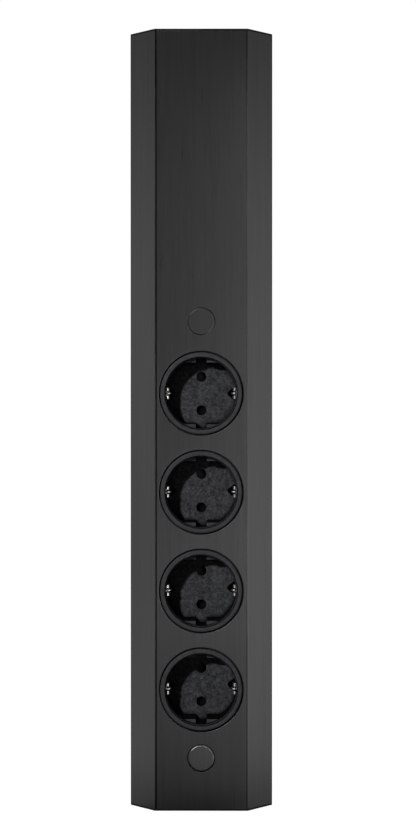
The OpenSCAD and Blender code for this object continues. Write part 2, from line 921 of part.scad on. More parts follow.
module socket_base() {
    pocket_r = contact_r + contact_play;
    block_half_z = pin_pitch / 2 + block_over;
    color([0.82, 0.82, 0.8]) {
        difference() {
            union() {
                rod(base_r, floor_back, base_front + disc_t);
                block([-block_half_x, base_front, -block_half_z], [block_half_x, block_back, block_half_z]);
            }
            rod(base_r - skirt_t, floor_back - overrun, base_front);
            block([-base_r - overrun, floor_back - overrun, -strap_w / 2 - slot_play],
                [base_r + overrun, strap_back, strap_w / 2 + slot_play]);
            for (side = [-1, 1]) translate([0, 0, -side * pin_pitch / 2]) {
                rod(guide_r, base_front - overrun, contact_front);
                rod(pocket_r, contact_front - contact_set, block_back + overrun);
                block([side > 0 ? 0 : -block_half_x - overrun, tab_front - tab_play,
                    -tab_w / 2 - tab_play],
                    [side > 0 ? block_half_x + overrun : 0, block_back + overrun, tab_w / 2 + tab_play]);
            }
            translate([earth_x, 0, 0]) rod(rivet_r + rivet_play, base_front, block_back + overrun);
            for (a = boss_angles) round_the_middle(boss_reach, a) {
                rod(joint_screw_d / 2 + joint_screw_play, base_front - overrun,
                    base_front + disc_t + merge);
                rod(joint_head_d / 2 + joint_head_play, base_front + disc_t, block_back + overrun);
            }
        }
        rod(pivot_r, floor_back + shutter_gap, strap_back + merge);
        translate([flag_half + shutter_gap + peg_r, 0, pin_pitch / 2 - pin_hole_r])
            rod(peg_r, floor_back + chamber / 2, base_front + merge);
    }
}

// Half of the strap's bent line, from the middle of its bridge to the tip of its clip
strap_half_line = [
    [0, strap_front + strap_t / 2],
    [strap_out - strap_t / 2 - strap_bend, strap_front + strap_t / 2],
    [strap_out - strap_t / 2, strap_front + strap_t / 2 - strap_bend],
    [strap_out - strap_t / 2, clip_root],
    [clip_reach + bead_rise + strap_t / 2, clip_apex],
    [clip_reach + bead_rise + strap_t / 2 + clip_lead, clip_front]
];

module socket_earth_strap() {
    line = concat([for (p = reversed(strap_half_line)) mirrored(p)],
        [for (i = [1:len(strap_half_line) - 1]) strap_half_line[i]]);
    root = strap_half_line[3];
    apex = strap_half_line[4];
    tip = strap_half_line[5];
    mid_share = 0.5;
    color([0.75, 0.75, 0.76]) difference() {
        union() {
            translate([0, 0, -strap_w / 2]) linear_extrude(strap_w) polygon(strip_outline(line, strap_t));
            both_sides() translate([0, 0, -bead_half]) linear_extrude(2 * bead_half) polygon([
                apex + mid_share * (tip - apex),
                apex + mid_share * (root - apex),
                [clip_reach, clip_apex + bead_rise],
                [clip_reach, clip_apex - bead_rise]
            ]);
        }
        rod(pivot_r + pivot_play + port_play, strap_front - overrun, strap_back + overrun);
        translate([earth_x, 0, 0]) rod(rivet_r + rivet_play, strap_front - overrun, strap_back + overrun);
    }
}

// side is -1 for the line contact at the upper pin and 1 for the neutral contact at the lower pin
module socket_contact(side) {
    color([0.8, 0.6, 0.3]) translate([0, 0, -side * pin_pitch / 2]) difference() {
        union() {
            rod(contact_r, contact_front, contact_back);
            block([side > 0 ? 0 : -bar_x, tab_front, -tab_w / 2],
                [side > 0 ? bar_x : 0, tab_front + tab_t, tab_w / 2]);
        }
        rod(contact_bore_r, contact_front - overrun, contact_back + overrun);
        block([-contact_slit / 2, contact_front - overrun, -contact_r - overrun],
            [contact_slit / 2, tab_front - tab_t, contact_r + overrun]);
    }
}

// The spring's coil winds from its fixed leg round to its pushing leg
coil_end_angle = leg_angle + 360 * coil_turns;
coil_front = floor_back + shutter_gap + coil_wire / 2;
spring_peg_at = let (r = coil_r + leg_len * peg_share, off = peg_r + coil_wire / 2 + touch)
    [r * cos(leg_angle) - off * sin(leg_angle), 0, r * sin(leg_angle) + off * cos(leg_angle)];
push_nub_at = let (r = coil_r + push_len - nub_r, off = nub_r + coil_wire / 2 + touch)
    [r * cos(coil_end_angle) + off * sin(coil_end_angle), 0,
        r * sin(coil_end_angle) - off * cos(coil_end_angle)];

module socket_shutter() {
    color([0.15, 0.15, 0.16]) difference() {
        union() {
            rod(hub_r, floor_back + shutter_gap, strap_front - hub_back_gap);
            block([-arm_half, flag_back - arm_t, -flag_in - merge], [arm_half, flag_back, flag_in + merge]);
            translate(push_nub_at) rod(nub_r, coil_front - coil_wire / 2, flag_back - arm_t + merge);
            for (turn = [0, 180]) rotate([0, turn, 0])
                translate([0, 0, flag_in]) linear_extrude(flag_out - flag_in) polygon([
                    [-flag_half, floor_back + shutter_gap],
                    [flag_half, floor_back + shutter_gap + ramp_rise],
                    [flag_half, flag_back],
                    [-flag_half, flag_back]
                ]);
        }
        rod(pivot_r + pivot_play, floor_back, strap_front);
    }
}

function polar(r, a, y) = [r * cos(a), y, r * sin(a)];

spring_line = concat(
    [for (s = leg_shares) polar(coil_r + leg_len * s, leg_angle, coil_front)],
    [for (i = [0:round(coil_steps * coil_turns)])
        polar(coil_r, leg_angle + 360 * i / coil_steps, coil_front + coil_pitch * i / coil_steps)],
    [for (s = push_shares)
        polar(coil_r + push_len * s, coil_end_angle, coil_front + coil_pitch * coil_turns)]
);

module socket_shutter_spring() {
    color([0.7, 0.7, 0.72]) wire(spring_line, coil_wire / 2, coil_sides);
}

module socket_screws() {
    head = base_front + disc_t;
    color([0.7, 0.7, 0.72]) for (k = [1:4]) for (a = boss_angles)
        translate([0, 0, socket_z(k)]) round_the_middle(boss_reach, a) difference() {
            union() {
                rod(joint_screw_d / 2, head - joint_screw_len, head + merge);
                rod(joint_head_d / 2, head, head + joint_head_t);
            }
            block([-joint_head_d / 4, head + joint_head_t - cross_depth / 2, -cross_w / 2],
                [joint_head_d / 4, head + joint_head_t + overrun, cross_w / 2]);
        }
}

// Places in the part's own frame

module placed() {
    translate([0, shift_y, 0]) children();
}

module at_height(z) {
    placed() translate([0, 0, z]) children();
}

module at_socket(k) {
    at_height(socket_z(k)) children();
}

placed() profile();
placed() front_plate();
placed() rear_cover();
placed() top_end_cap();
placed() bottom_end_cap();
placed() end_cap_screws();
at_height(upper_fixing_z) cover_cap(upper_cap_proud);  // upper_cover_cap
at_height(lower_fixing_z) cover_cap(lower_cap_proud);  // lower_cover_cap
placed() fixing_screws();
at_height(upper_fixing_z) spacer();  // upper_spacer
at_height(lower_fixing_z) spacer();  // lower_spacer
at_height(upper_fixing_z) corner_bracket();  // upper_corner_bracket
at_height(lower_fixing_z) corner_bracket();  // lower_corner_bracket
placed() cable_grommet();
placed() socket_screws();
placed() terminal_block();
placed() terminal_clamps();
placed() terminal_screws();
placed() terminal_fixing_screw();
placed() pole_bar(-1);  // line_bus_bar
placed() pole_bar(1);  // neutral_bus_bar
placed() earth_bus_bar();
placed() earth_rivets();
placed() line_wire();
placed() neutral_wire();
placed() earth_wire();
for (k = [1:4]) {
    at_socket(k) socket_collar();
    at_socket(k) socket_insert();
    at_socket(k) socket_base();
    at_socket(k) socket_earth_strap();
    at_socket(k) socket_contact(-1);
    at_socket(k) socket_contact(1);
    at_socket(k) socket_shutter();
    at_socket(k) socket_shutter_spring();
}
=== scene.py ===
"""Looks of the corner socket tower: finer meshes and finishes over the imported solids, a plain studio and the
camera. The shape code is in millimetres with y = 0 on the flat front, as the part's source is."""
import json
import math

import bmesh
import bpy
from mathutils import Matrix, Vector

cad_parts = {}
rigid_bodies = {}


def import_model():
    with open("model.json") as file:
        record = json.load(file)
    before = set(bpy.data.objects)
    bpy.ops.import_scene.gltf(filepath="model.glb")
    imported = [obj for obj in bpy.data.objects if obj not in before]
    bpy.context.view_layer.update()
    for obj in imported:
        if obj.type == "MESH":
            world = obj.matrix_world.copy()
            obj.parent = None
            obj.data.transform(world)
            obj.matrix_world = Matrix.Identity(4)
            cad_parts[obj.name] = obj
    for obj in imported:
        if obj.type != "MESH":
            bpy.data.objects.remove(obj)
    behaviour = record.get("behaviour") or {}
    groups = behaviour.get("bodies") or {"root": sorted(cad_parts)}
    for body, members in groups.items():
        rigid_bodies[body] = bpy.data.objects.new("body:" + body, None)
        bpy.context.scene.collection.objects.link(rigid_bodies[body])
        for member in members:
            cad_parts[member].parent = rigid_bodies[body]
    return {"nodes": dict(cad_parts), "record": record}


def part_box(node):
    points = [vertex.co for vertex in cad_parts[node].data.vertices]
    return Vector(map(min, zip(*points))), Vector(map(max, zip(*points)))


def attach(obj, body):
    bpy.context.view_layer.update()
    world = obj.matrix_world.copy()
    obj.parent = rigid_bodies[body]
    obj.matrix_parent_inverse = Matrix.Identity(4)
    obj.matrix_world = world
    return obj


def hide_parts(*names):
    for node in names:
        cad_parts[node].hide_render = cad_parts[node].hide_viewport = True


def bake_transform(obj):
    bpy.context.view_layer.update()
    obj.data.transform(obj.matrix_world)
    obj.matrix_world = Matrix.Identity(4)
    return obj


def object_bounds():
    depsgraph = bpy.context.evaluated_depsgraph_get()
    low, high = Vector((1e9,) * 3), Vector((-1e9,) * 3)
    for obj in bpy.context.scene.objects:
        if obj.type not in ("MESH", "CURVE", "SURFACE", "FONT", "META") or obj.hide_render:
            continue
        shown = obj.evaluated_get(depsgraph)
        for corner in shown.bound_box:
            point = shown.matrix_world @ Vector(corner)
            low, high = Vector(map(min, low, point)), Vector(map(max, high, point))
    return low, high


for thing in list(bpy.data.objects):
    bpy.data.objects.remove(thing)
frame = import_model()
cad_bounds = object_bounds()

record = frame["record"]
SLOT_OF = {s["node"]: s["material_slot"] for s in record["subparts"]}
BODY_OF = {n: b for b, members in record["behaviour"]["bodies"].items() for n in members}

MM = 0.001
TURN = 2 * math.pi


def height_of(node):
    """The height of a node's middle, in millimetres."""
    low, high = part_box(node)
    return round((low[2] + high[2]) / 2 / MM, 2)


# Places that the frame gives
FRONT = round(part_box("front_plate")[0][1] / MM, 2)      # the flat front in the part's own frame
TOWER_H = round(cad_bounds[1][2] / MM, 2)
SOCKETS = {k: height_of(f"socket_{k}_collar") for k in (1, 2, 3, 4)}
UPPER_CAP, LOWER_CAP = height_of("upper_cover_cap"), height_of("lower_cover_cap")
INLET = height_of("cable_grommet")

# Sizes that the part's source gives
RING_R, RING_PROUD, BARREL_R = 22.8, 0.4, 21.7
FLOOR_R, INSERT_R, INSERT_PLAY = 19.6, 20.6, 0.05
FLOOR_FRONT, FLOOR_BACK, BASE_FRONT = 17.1, 19.3, 24.1
SLOT_FRONT, SLOT_HALF = 1.5, 3.4
RIB_REACH, KEY_W = 16.4, 6.0
PIN_PITCH = 19.0
BOSS_R, BOSS_REACH, BOSS_ANGLES = 2.7, 14.2, (23, 203)
PEG_R, PEG_AT, PEG_BACK = 0.8, (7.23, -1.48), 23.4
CLAW_ANGLES, CLAW_SPREAD = (45, 135, 225, 315), 14
CLAW_REACH, CLAW_GAP, CLAW_LEN = 0.8, 0.1, 3.0
SNAP_REACH, SNAP_LEN = 0.5, 1.6
PLATE_W, PLATE_T, PLATE_END, WEB_BACK = 50.1, 2.0, 1.0, 3.6
CAP_R, CAP_BACK, CAP_FACE_T = 7.35, 1.9, 1.2
SPIGOT_R, SPIGOT_WALL, SPIGOT_BACK, SPIGOT_SLIT = 5.0, 0.8, 4.1, 1.2
COVER_IN, COVER_OUT = 39.4, 41.4
GROMMET_R, GROMMET_BORE, GROMMET_SEAT, GROMMET_LIP = 8.0, 4.0, 6.0, 2.0
WIRE_R, WIRE_LOW, WIRE_HIGH = 1.4, 258.0, 305.5
SWING_LOW, SWING_HIGH = 277.0, 300.5
COIL_R, COIL_WIRE, COIL_TURNS, COIL_PITCH, COIL_FRONT = 3.9, 0.4, 2.375, 0.46, 19.8
LEG_ANGLE, LEG_LEN, PUSH_LEN = -20.0, 4.0, 1.6
STRAP_T, STRAP_W, STRAP_OUT, STRAP_BACK = 0.8, 6.2, 21.1, 25.5
STRAP_HOLES = ((0.0, 1.63), (6.2, 1.25))
MERGE = 0.2                         # how deep two shapes of one piece run into each other
FEED_WIRES = {                      # where each wire leaves its crimp and enters its pole, in (x, y)
    "line_wire": ((-14.0, 33.0), (-10.0, 28.0)),
    "neutral_wire": ((14.0, 33.0), (10.0, 28.0)),
    "earth_wire": ((6.2, 35.2), (0.0, 28.0))}

# Details that only the looks have
LIP_R, LIP_T = 19.65, 0.28          # lip of the recess's wall
LIP_FRONT, LIP_BACK = 0.35, 0.85
LINE_W, LINE_DEPTH = 0.75, 1.4      # dark line between the lip and the ring
RING_EASES = (0.18, 0.9)            # roundings of the ring's inner and outer edge
HOLE_R, SEAL_R = 23.62, 23.5        # the panel's hole round a ring, and the black seal in the gap
RIB_FRONT, RIB_DRAFT, RIB_SINK, RIB_EASE = 4.0, 0.8, 0.8, 0.25
CLAW_EDGE = 0.2
FLOOR_EASE = 0.3
NOTCH = ((18.9, 3.4), (17.4, 2.9), (14.9, 0.7))     # upper half of the floor's notch behind an earth contact
PIN_RIM_R = 2.8
PLATE_ASIDE = 0.22                  # the panel sits a little to the right in its pocket
CAP_SEAT_R = 7.64                   # the panel's hole round a cap
LOW_SEAT = (-0.06, -0.2)            # how far the lower hole's middle is off the cap's axis
CONTACT_X = 15.0                    # the strap's two contacts lie beyond this, to the left and right
SLIT_FROM, SLIT_TO, SLIT_BACK = 0.46, 1.38, 9.8         # the slits, off the middle line and in depth
BEAD_RISE, BEAD_HALF = 0.95, 0.52   # height and half width of the bead between them
BEAD_FRONT, BEAD_BACK = 2.9, 9.6
STRAP_SHADE = 10.0                  # from this depth on, the strap takes a darkened copy of its nickel: painted shade
STRAP_EASE = 0.25                   # width of the strap's rounded edges
STRAP_EDGE, STRAP_THIN = 0.45, 0.6  # shares of its thickness at the long edges and at the contacts' ends
EASED = {                           # solids that are only rounded, and how wide
    "profile": 0.12, "rear_cover": 0.25, "top_end_cap": 0.15, "bottom_end_cap": 0.15,
    "upper_corner_bracket": 0.2, "lower_corner_bracket": 0.2, "terminal_block": 0.25}


# Materials

FINE_NOISE, SLOW_NOISE = (0.25, 0.75), (0.3, 0.7)       # the ranges that the two noises fill
PAINTED_SHADE_RANGE, PAINTED_SHADE_LEAST = (0.3, 0.8), 0.04                 # how far the painted shade darkens narrow gaps


class Net:
    """A node tree that is being filled. An input may be a value or another node's output."""

    def __init__(self, owner):
        owner.use_nodes = True
        self.tree = owner.node_tree
        self.tree.nodes.clear()

    def add(self, kind, inputs=None, operation=None):
        """Adds a node with its inputs set or linked."""
        node = self.tree.nodes.new(kind)
        if operation:
            node.operation = operation
        for key, value in (inputs or {}).items():
            if isinstance(value, bpy.types.NodeSocket):
                self.tree.links.new(value, node.inputs[key])
            else:
                node.inputs[key].default_value = value
        return node

    def combine(self, operation, *values):
        return self.add("ShaderNodeMath", dict(enumerate(values)), operation).outputs[0]

    def product(self, a, b):
        return self.combine("MULTIPLY", a, b)

    def ramp(self, value, start, stop, low, high, course="LINEAR"):
        """Maps the range from start to stop onto the range from low to high."""
        node = self.add("ShaderNodeMapRange", {"Value": value, "From Min": start, "From Max": stop,
                                               "To Min": low, "To Max": high})
        node.interpolation_type = course
        return node.outputs[0]


def material(name, color, rough, metal=0.0, stretch=(1, 1, 1), grain=900.0, swing=0.12, rough_swing=0.08,
             bump=0.15, depth=0.00003, blotch=0.06, blotch_scale=45.0, specular=0.5, aniso=0.0, painted_shade_reach=0.0):
    """A finish whose colour, roughness and height vary with a fine grain and a slow blotch, and whose colour
    is darkened by painted shade in gaps narrower than the painted shade's reach."""
    made = bpy.data.materials.new(name)
    net = Net(made)
    where = net.add("ShaderNodeTexCoord").outputs["Object"]
    spread = net.add("ShaderNodeMapping", {"Vector": where, "Scale": stretch}).outputs[0]
    fine = net.add("ShaderNodeTexNoise", {"Vector": spread, "Scale": grain, "Detail": 4.0, "Roughness": 0.6})
    slow = net.add("ShaderNodeTexNoise", {"Vector": spread, "Scale": blotch_scale, "Detail": 2.0})
    fine, slow = fine.outputs["Fac"], slow.outputs["Fac"]
    level = net.product(net.ramp(fine, *FINE_NOISE, 1.0 - swing, 1.0 + swing),
                        net.ramp(slow, *SLOW_NOISE, 1.0 - blotch, 1.0 + blotch))
    # Painted shade: ambient occlusion darkens the colour in narrow gaps and recesses
    if painted_shade_reach:
        openness = net.add("ShaderNodeAmbientOcclusion", {"Distance": painted_shade_reach})
        openness.samples = 16
        level = net.product(level, net.ramp(openness.outputs["AO"], *PAINTED_SHADE_RANGE, PAINTED_SHADE_LEAST, 1.0))
    paint = net.add("ShaderNodeVectorMath", {0: color, "Scale": level}, "SCALE")
    gloss = net.ramp(fine, *FINE_NOISE, max(0.02, rough - rough_swing), min(1.0, rough + rough_swing))
    relief = net.add("ShaderNodeBump", {"Strength": bump, "Distance": depth, "Height": fine})
    shader = net.add("ShaderNodeBsdfPrincipled", {
        "Base Color": paint.outputs[0], "Metallic": metal, "Roughness": gloss,
        "Specular IOR Level": specular, "Normal": relief.outputs[0]})
    if aniso:
        grain_way = net.add("ShaderNodeTangent")
        grain_way.direction_type = "RADIAL"
        grain_way.axis = "Z"
        net.tree.links.new(grain_way.outputs[0], shader.inputs["Tangent"])
        shader.inputs["Anisotropic"].default_value = aniso
    net.add("ShaderNodeOutputMaterial", {0: shader.outputs[0]})
    return made


# Brushed metal, with painted shade darkening its narrow grooves and gaps
BRUSHED = dict(metal=1.0, stretch=(1.0, 1.0, 0.012), grain=2400, swing=0.1, rough_swing=0.03, bump=0.06,
               depth=0.00001, blotch=0.02, blotch_scale=260, painted_shade_reach=0.0016)
NICKEL = dict(metal=1.0, stretch=(1, 0.06, 1), grain=2400, swing=0.06, rough_swing=0.06, bump=0.1,
              depth=0.00001, blotch=0.04, blotch_scale=300)
INSULATION = dict(grain=1500, swing=0.06, bump=0.1)
ANODISED = (0.07, 0.07, 0.07)
MATERIALS = {
    "extrusion": material("black_anodised_extrusion", ANODISED, 0.3, aniso=0.7, **BRUSHED),
    "front_panel": material("black_anodised_front", ANODISED, 0.3, aniso=0.7, **BRUSHED),
    "fixing_cap": material("black_anodised_cap", ANODISED, 0.3, aniso=0.7, **BRUSHED),
    "proud_cap": material("satin_anodised_cap", (0.097, 0.097, 0.097), 0.34, aniso=0.6, **BRUSHED),
    "end_cap": material("black_moulded", (0.006, 0.006, 0.0065), 0.5, grain=2200, bump=0.2, specular=0.1),
    "rear_cover": material("black_extruded_plastic", (0.03, 0.03, 0.031), 0.45, stretch=(1.0, 1.0, 0.012),
                           grain=1500, swing=0.1, depth=0.00002, blotch=0.1, blotch_scale=90),
    "socket_black": material("spark_eroded_black", (0.0345, 0.0355, 0.0385), 0.55, grain=900, swing=0.7,
                             rough_swing=0.1, bump=0.35, depth=0.00005, blotch=0.3, blotch_scale=420,
                             specular=0.01, painted_shade_reach=0.004),
    "socket_ring": material("fine_eroded_black", (0.036, 0.0365, 0.039), 0.5, grain=1300, swing=0.35,
                            bump=0.3, blotch=0.12, blotch_scale=260, specular=0.06, painted_shade_reach=0.0012),
    # The side finish: smoother than the eroded floor, and far darker, which paints the shade on the recess
    # walls
    "socket_side": material("smooth_black_wall_and_painted_shade", (0.003, 0.003, 0.0034), 0.5, grain=1500, swing=0.2,
                            bump=0.1, specular=0.012),
    # Its wide painted shade darkens the off-white base where it shows through the pin holes and slots
    "socket_base": material("moulded_off_white", (0.72, 0.71, 0.66), 0.45, grain=1500, swing=0.04,
                            blotch=0.03, painted_shade_reach=0.008),
    "shutter": material("moulded_shutter", (0.003, 0.003, 0.0033), 0.5, grain=1800, bump=0.2, specular=0.04),
    "earth_spring": material("nickel_strip", (0.58, 0.57, 0.55), 0.32, painted_shade_reach=0.0012, **NICKEL),
    # The strap's deep part: the nickel darkened almost to black, as painted shade
    "strap_back": material("nickel_strip_in_painted_shade", (0.03, 0.03, 0.029), 0.6, painted_shade_reach=0.006, **NICKEL),
    "contact_brass": material("stamped_brass", (0.76, 0.56, 0.26), 0.26, metal=1.0, stretch=(1, 1, 0.08),
                              grain=1800, swing=0.07, bump=0.12, depth=0.00001, blotch=0.08,
                              blotch_scale=200),
    "spring_wire": material("bright_wire", (0.6, 0.6, 0.62), 0.22, metal=1.0, grain=2600, swing=0.06,
                            bump=0.1),
    "zinc_screw": material("zinc_plating", (0.5, 0.51, 0.54), 0.34, metal=1.0, grain=1400, swing=0.07,
                           bump=0.12, blotch=0.08, blotch_scale=300),
    "dark_screw": material("blackened_steel", (0.06, 0.06, 0.062), 0.34, metal=1.0, grain=1500),
    "bracket_steel": material("zinc_bracket", (0.62, 0.63, 0.65), 0.32, metal=1.0, stretch=(1, 1, 0.1),
                              grain=1300, swing=0.07, bump=0.12, depth=0.00002, blotch=0.1,
                              blotch_scale=120),
    "spacer_plastic": material("grey_spacer", (0.5, 0.5, 0.48), 0.45, grain=1500, swing=0.05),
    "terminal_plastic": material("terminal_off_white", (0.82, 0.81, 0.76), 0.4, grain=1500, swing=0.03,
                                 bump=0.12, blotch=0.03),
    "grommet_rubber": material("soft_rubber", (0.022, 0.022, 0.023), 0.6, grain=1900, swing=0.15, bump=0.3,
                               specular=0.4),
    "line_insulation": material("brown_insulation", (0.2, 0.08, 0.03), 0.38, **INSULATION),
    "neutral_insulation": material("blue_insulation", (0.03, 0.1, 0.42), 0.38, **INSULATION),
    "earth_insulation": material("green_insulation", (0.1, 0.38, 0.06), 0.38, **INSULATION),
}


# Shape helpers

def circle(r, count, centre=(0.0, 0.0), start=0.0):
    return [(centre[0] + r * math.cos(start + TURN * i / count),
             centre[1] + r * math.sin(start + TURN * i / count)) for i in range(count)]


def fillet(last, corner, after, radius, steps):
    """Points of the arc that rounds a corner between its two neighbours."""
    corner = Vector(corner)
    to_last = (Vector(last) - corner).normalized()
    to_next = (Vector(after) - corner).normalized()
    half = to_last.angle(to_next) / 2
    cut = radius / math.tan(half)
    centre = corner + (to_last + to_next).normalized() * (radius / math.sin(half))
    a = corner + to_last * cut - centre
    b = corner + to_next * cut - centre
    start = math.atan2(a.y, a.x)
    sweep = (math.atan2(b.y, b.x) - start + math.pi) % TURN - math.pi
    angles = [start + sweep * s / steps for s in range(steps + 1)]
    return [centre + radius * Vector((math.cos(angle), math.sin(angle))) for angle in angles]


def rounded(corners, steps):
    """A closed outline from (u, v, radius) corners, with each corner rounded."""
    out = []
    for i, (u, v, radius) in enumerate(corners):
        last, after = corners[i - 1][:2], corners[(i + 1) % len(corners)][:2]
        out += [tuple(p) for p in fillet(last, (u, v), after, radius, steps)] if radius else [(u, v)]
    return out


def nearest(outline, point):
    """Index of the outline's point that lies nearest to a point."""
    return min(range(len(outline)), key=lambda i: math.dist(outline[i], point))


def spread_angles(stops, step):
    """Angles through all the stops, in even steps between them, in degrees."""
    out = [stops[0]]
    for a, b in zip(stops, stops[1:]):
        count = max(1, round((b - a) / step))
        out += [a + (b - a) * i / count for i in range(1, count + 1)]
    return out


def add_turned(bm, outline, degrees, short=None, short_cells=()):
    """A body turned round the depth axis, from (radius, depth) points. The cells in short_cells take only the
    points in short, and a flat cheek closes the step between the two kinds."""
    angles = [math.radians(d) for d in degrees]
    closed = abs(angles[-1] - angles[0] - TURN) < 1e-6
    rings = angles[:-1] if closed else angles
    verts = [[bm.verts.new((r * math.cos(a), y, r * math.sin(a))) for r, y in outline] for a in rings]
    whole = list(range(len(outline)))
    kinds = [i in short_cells for i in range(len(angles) - 1)]
    for i, kind in enumerate(kinds):
        loop = short if kind else whole
        this, after = verts[i], verts[(i + 1) % len(verts)]
        for j, p in enumerate(loop):
            q = loop[(j + 1) % len(loop)]
            on_axis = outline[p][0] < 1e-9 and outline[q][0] < 1e-9
            if not on_axis:
                bm.faces.new((this[p], after[p], after[q], this[q]))
        if kinds[i - 1] != kind and (closed or i):
            cheek = range(short[-1], short[-1] + len(whole) - len(short) + 2)
            bm.faces.new([this[p % len(whole)] for p in cheek])
    if not closed:
        bm.faces.new(verts[0])
        bm.faces.new(verts[-1])
    drop_loose(bm)


def drop_loose(bm):
    bmesh.ops.delete(bm, geom=[v for v in bm.verts if not v.link_faces], context="VERTS")


def round_edges(bm, limit, width):
    """Rounds the edges whose faces meet at more than limit degrees."""
    sharp = [e for e in bm.edges if len(e.link_faces) == 2 and e.calc_face_angle(0) > math.radians(limit)]
    bmesh.ops.bevel(bm, geom=sharp, offset=width, segments=2, profile=0.5, affect="EDGES",
                    clamp_overlap=False)


def add_prism(bm, outline, low, high, bevel=0.0, back=None):
    """A prism over an (x, z) outline, between two depths. It may end in another outline at the back."""
    part = bmesh.new()
    a = [part.verts.new((x, low, z)) for x, z in outline]
    b = [part.verts.new((x, high, z)) for x, z in back or outline]
    part.faces.new(a)
    part.faces.new(b)
    for i in range(len(a)):
        j = (i + 1) % len(a)
        part.faces.new((a[i], a[j], b[j], b[i]))
    bmesh.ops.recalc_face_normals(part, faces=part.faces[:])
    if bevel:
        round_edges(part, 25, bevel)
    mesh = bpy.data.meshes.new("step")
    part.to_mesh(mesh)
    part.free()
    bm.from_mesh(mesh)
    bpy.data.meshes.remove(mesh)


def add_to_scene(name, data):
    made = bpy.data.objects.new(name, data)
    bpy.context.scene.collection.objects.link(made)
    return made


def evaluated_mesh(thing, all_layers=False):
    """The mesh of an object after its modifiers."""
    deps = bpy.context.evaluated_depsgraph_get()
    return bpy.data.meshes.new_from_object(thing.evaluated_get(deps), depsgraph=deps,
                                           preserve_all_data_layers=all_layers)


def bore(bm, x, r, y):
    """Cuts a round hole through a strip in the middle plane z = 0."""
    tool = bmesh.new()
    add_prism(tool, circle(r, 32, (x, 0.0), TURN / 64), y - 2, y + 2)
    pair = []
    for part in (bm, tool):
        bmesh.ops.recalc_face_normals(part, faces=part.faces[:])
        mesh = bpy.data.meshes.new("step")
        part.to_mesh(mesh)
        pair.append(add_to_scene("step", mesh))
    tool.free()
    cut = pair[0].modifiers.new("cut", "BOOLEAN")
    cut.operation = "DIFFERENCE"
    cut.solver = "EXACT"
    cut.object = pair[1]
    done = evaluated_mesh(pair[0])
    bm.clear()
    bm.from_mesh(done)
    bpy.data.meshes.remove(done)
    for made in pair:
        mesh = made.data
        bpy.data.objects.remove(made)
        bpy.data.meshes.remove(mesh)


def pierced_plate(outlines, front, back, edge, edge_steps):
    """A flat plate in the x-z plane with holes, from a filled curve: every rim has a rounded edge."""
    curve = bpy.data.curves.new("plate", "CURVE")
    curve.dimensions = "2D"
    curve.fill_mode = "BOTH"
    curve.extrude = (back - front) / 2 - edge
    curve.bevel_depth = edge
    curve.bevel_resolution = edge_steps
    curve.offset = -edge
    for outline in outlines:
        line = curve.splines.new("POLY")
        line.points.add(len(outline) - 1)
        for point, (x, z) in zip(line.points, outline):
            point.co = (x, z, 0, 1)
        line.use_cyclic_u = True
    holder = add_to_scene("plate", curve)
    mesh = evaluated_mesh(holder)
    bpy.data.objects.remove(holder)
    bpy.data.curves.remove(curve)
    middle = (front + back) / 2
    for v in mesh.vertices:
        v.co = (v.co.x, middle - v.co.z, v.co.y)
    bm = bmesh.new()
    bm.from_mesh(mesh)
    bpy.data.meshes.remove(mesh)
    bmesh.ops.remove_doubles(bm, verts=bm.verts[:], dist=1e-4)
    return bm


def tube(bm, path, radius, sides, blunt):
    """A round tube along a path of points, with a small rounding at each end."""
    points = [Vector(p) for p in path]
    first, last = (points[1] - points[0]).normalized(), (points[-1] - points[-2]).normalized()

    def rounding(end, inward):
        """Stations from the full radius out to the blunt end, in six steps of a quarter turn."""
        turns = [TURN / 4 * t / 6 for t in range(7)]
        return [(end + inward * blunt * (1 - math.sin(t)), radius - blunt * (1 - math.cos(t))) for t in turns]

    start, stop = rounding(points[0], first)[::-1], rounding(points[-1], -last)
    stations = start + [(p, radius) for p in points[1:-1]] + stop
    up = Vector((0, 1, 0))
    rings = []
    for i, (p, r) in enumerate(stations):
        if i <= len(start):
            way = first
        elif i >= len(stations) - len(stop) - 1:
            way = last
        else:
            way = stations[i + 1][0] - stations[i - 1][0]
        way = way.normalized()
        across = way.cross(up).normalized()
        rise = across.cross(way)
        turns = [TURN * k / sides for k in range(sides)]
        rings.append([bm.verts.new(p + r * (math.cos(t) * across + math.sin(t) * rise)) for t in turns])
    for a, b in zip(rings, rings[1:]):
        for k in range(sides):
            n = (k + 1) % sides
            bm.faces.new((a[k], b[k], b[n], a[n]))
    bm.faces.new(rings[0])
    bm.faces.new(rings[-1])


def finish_piece(bm, node, z=0.0, sharp=38.0, finish=None, side=None, rides=True):
    """Makes the piece that stands for a node, from a bmesh in millimetres round the height z."""
    bmesh.ops.recalc_face_normals(bm, faces=bm.faces[:])
    for v in bm.verts:
        v.co = Vector((v.co.x, v.co.y + FRONT, v.co.z + z)) * MM
    return settle(bm, node, sharp, finish, side, rides)


def settle(bm, node, sharp=38.0, finish=None, side=None, rides=True):
    """Makes a node's piece from a bmesh in metres. The faces that run along the mould's draw take the side
    finish where one is given."""
    name = node + "_form"
    mesh = bpy.data.meshes.new(name)
    bm.to_mesh(mesh)
    bm.free()
    for face in mesh.polygons:
        face.use_smooth = True
    mesh.set_sharp_from_angle(angle=math.radians(sharp))
    piece = add_to_scene(name, mesh)
    weigh = piece.modifiers.new("weigh", "WEIGHTED_NORMAL")
    weigh.keep_sharp = True
    final = evaluated_mesh(piece, all_layers=True)
    piece.modifiers.clear()
    piece.data = final
    bpy.data.meshes.remove(mesh)
    final.name = name
    final.materials.clear()
    final.materials.append(MATERIALS[finish or SLOT_OF[node]])
    # The side finish is a much darker copy of the black plastic: painted shade on the faces along the draw
    if side:
        final.materials.append(MATERIALS[side])
        for face in final.polygons:
            face.material_index = int(abs(face.normal.y) < 0.3)
    if rides:
        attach(piece, BODY_OF[node])
    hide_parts(node)
    return piece


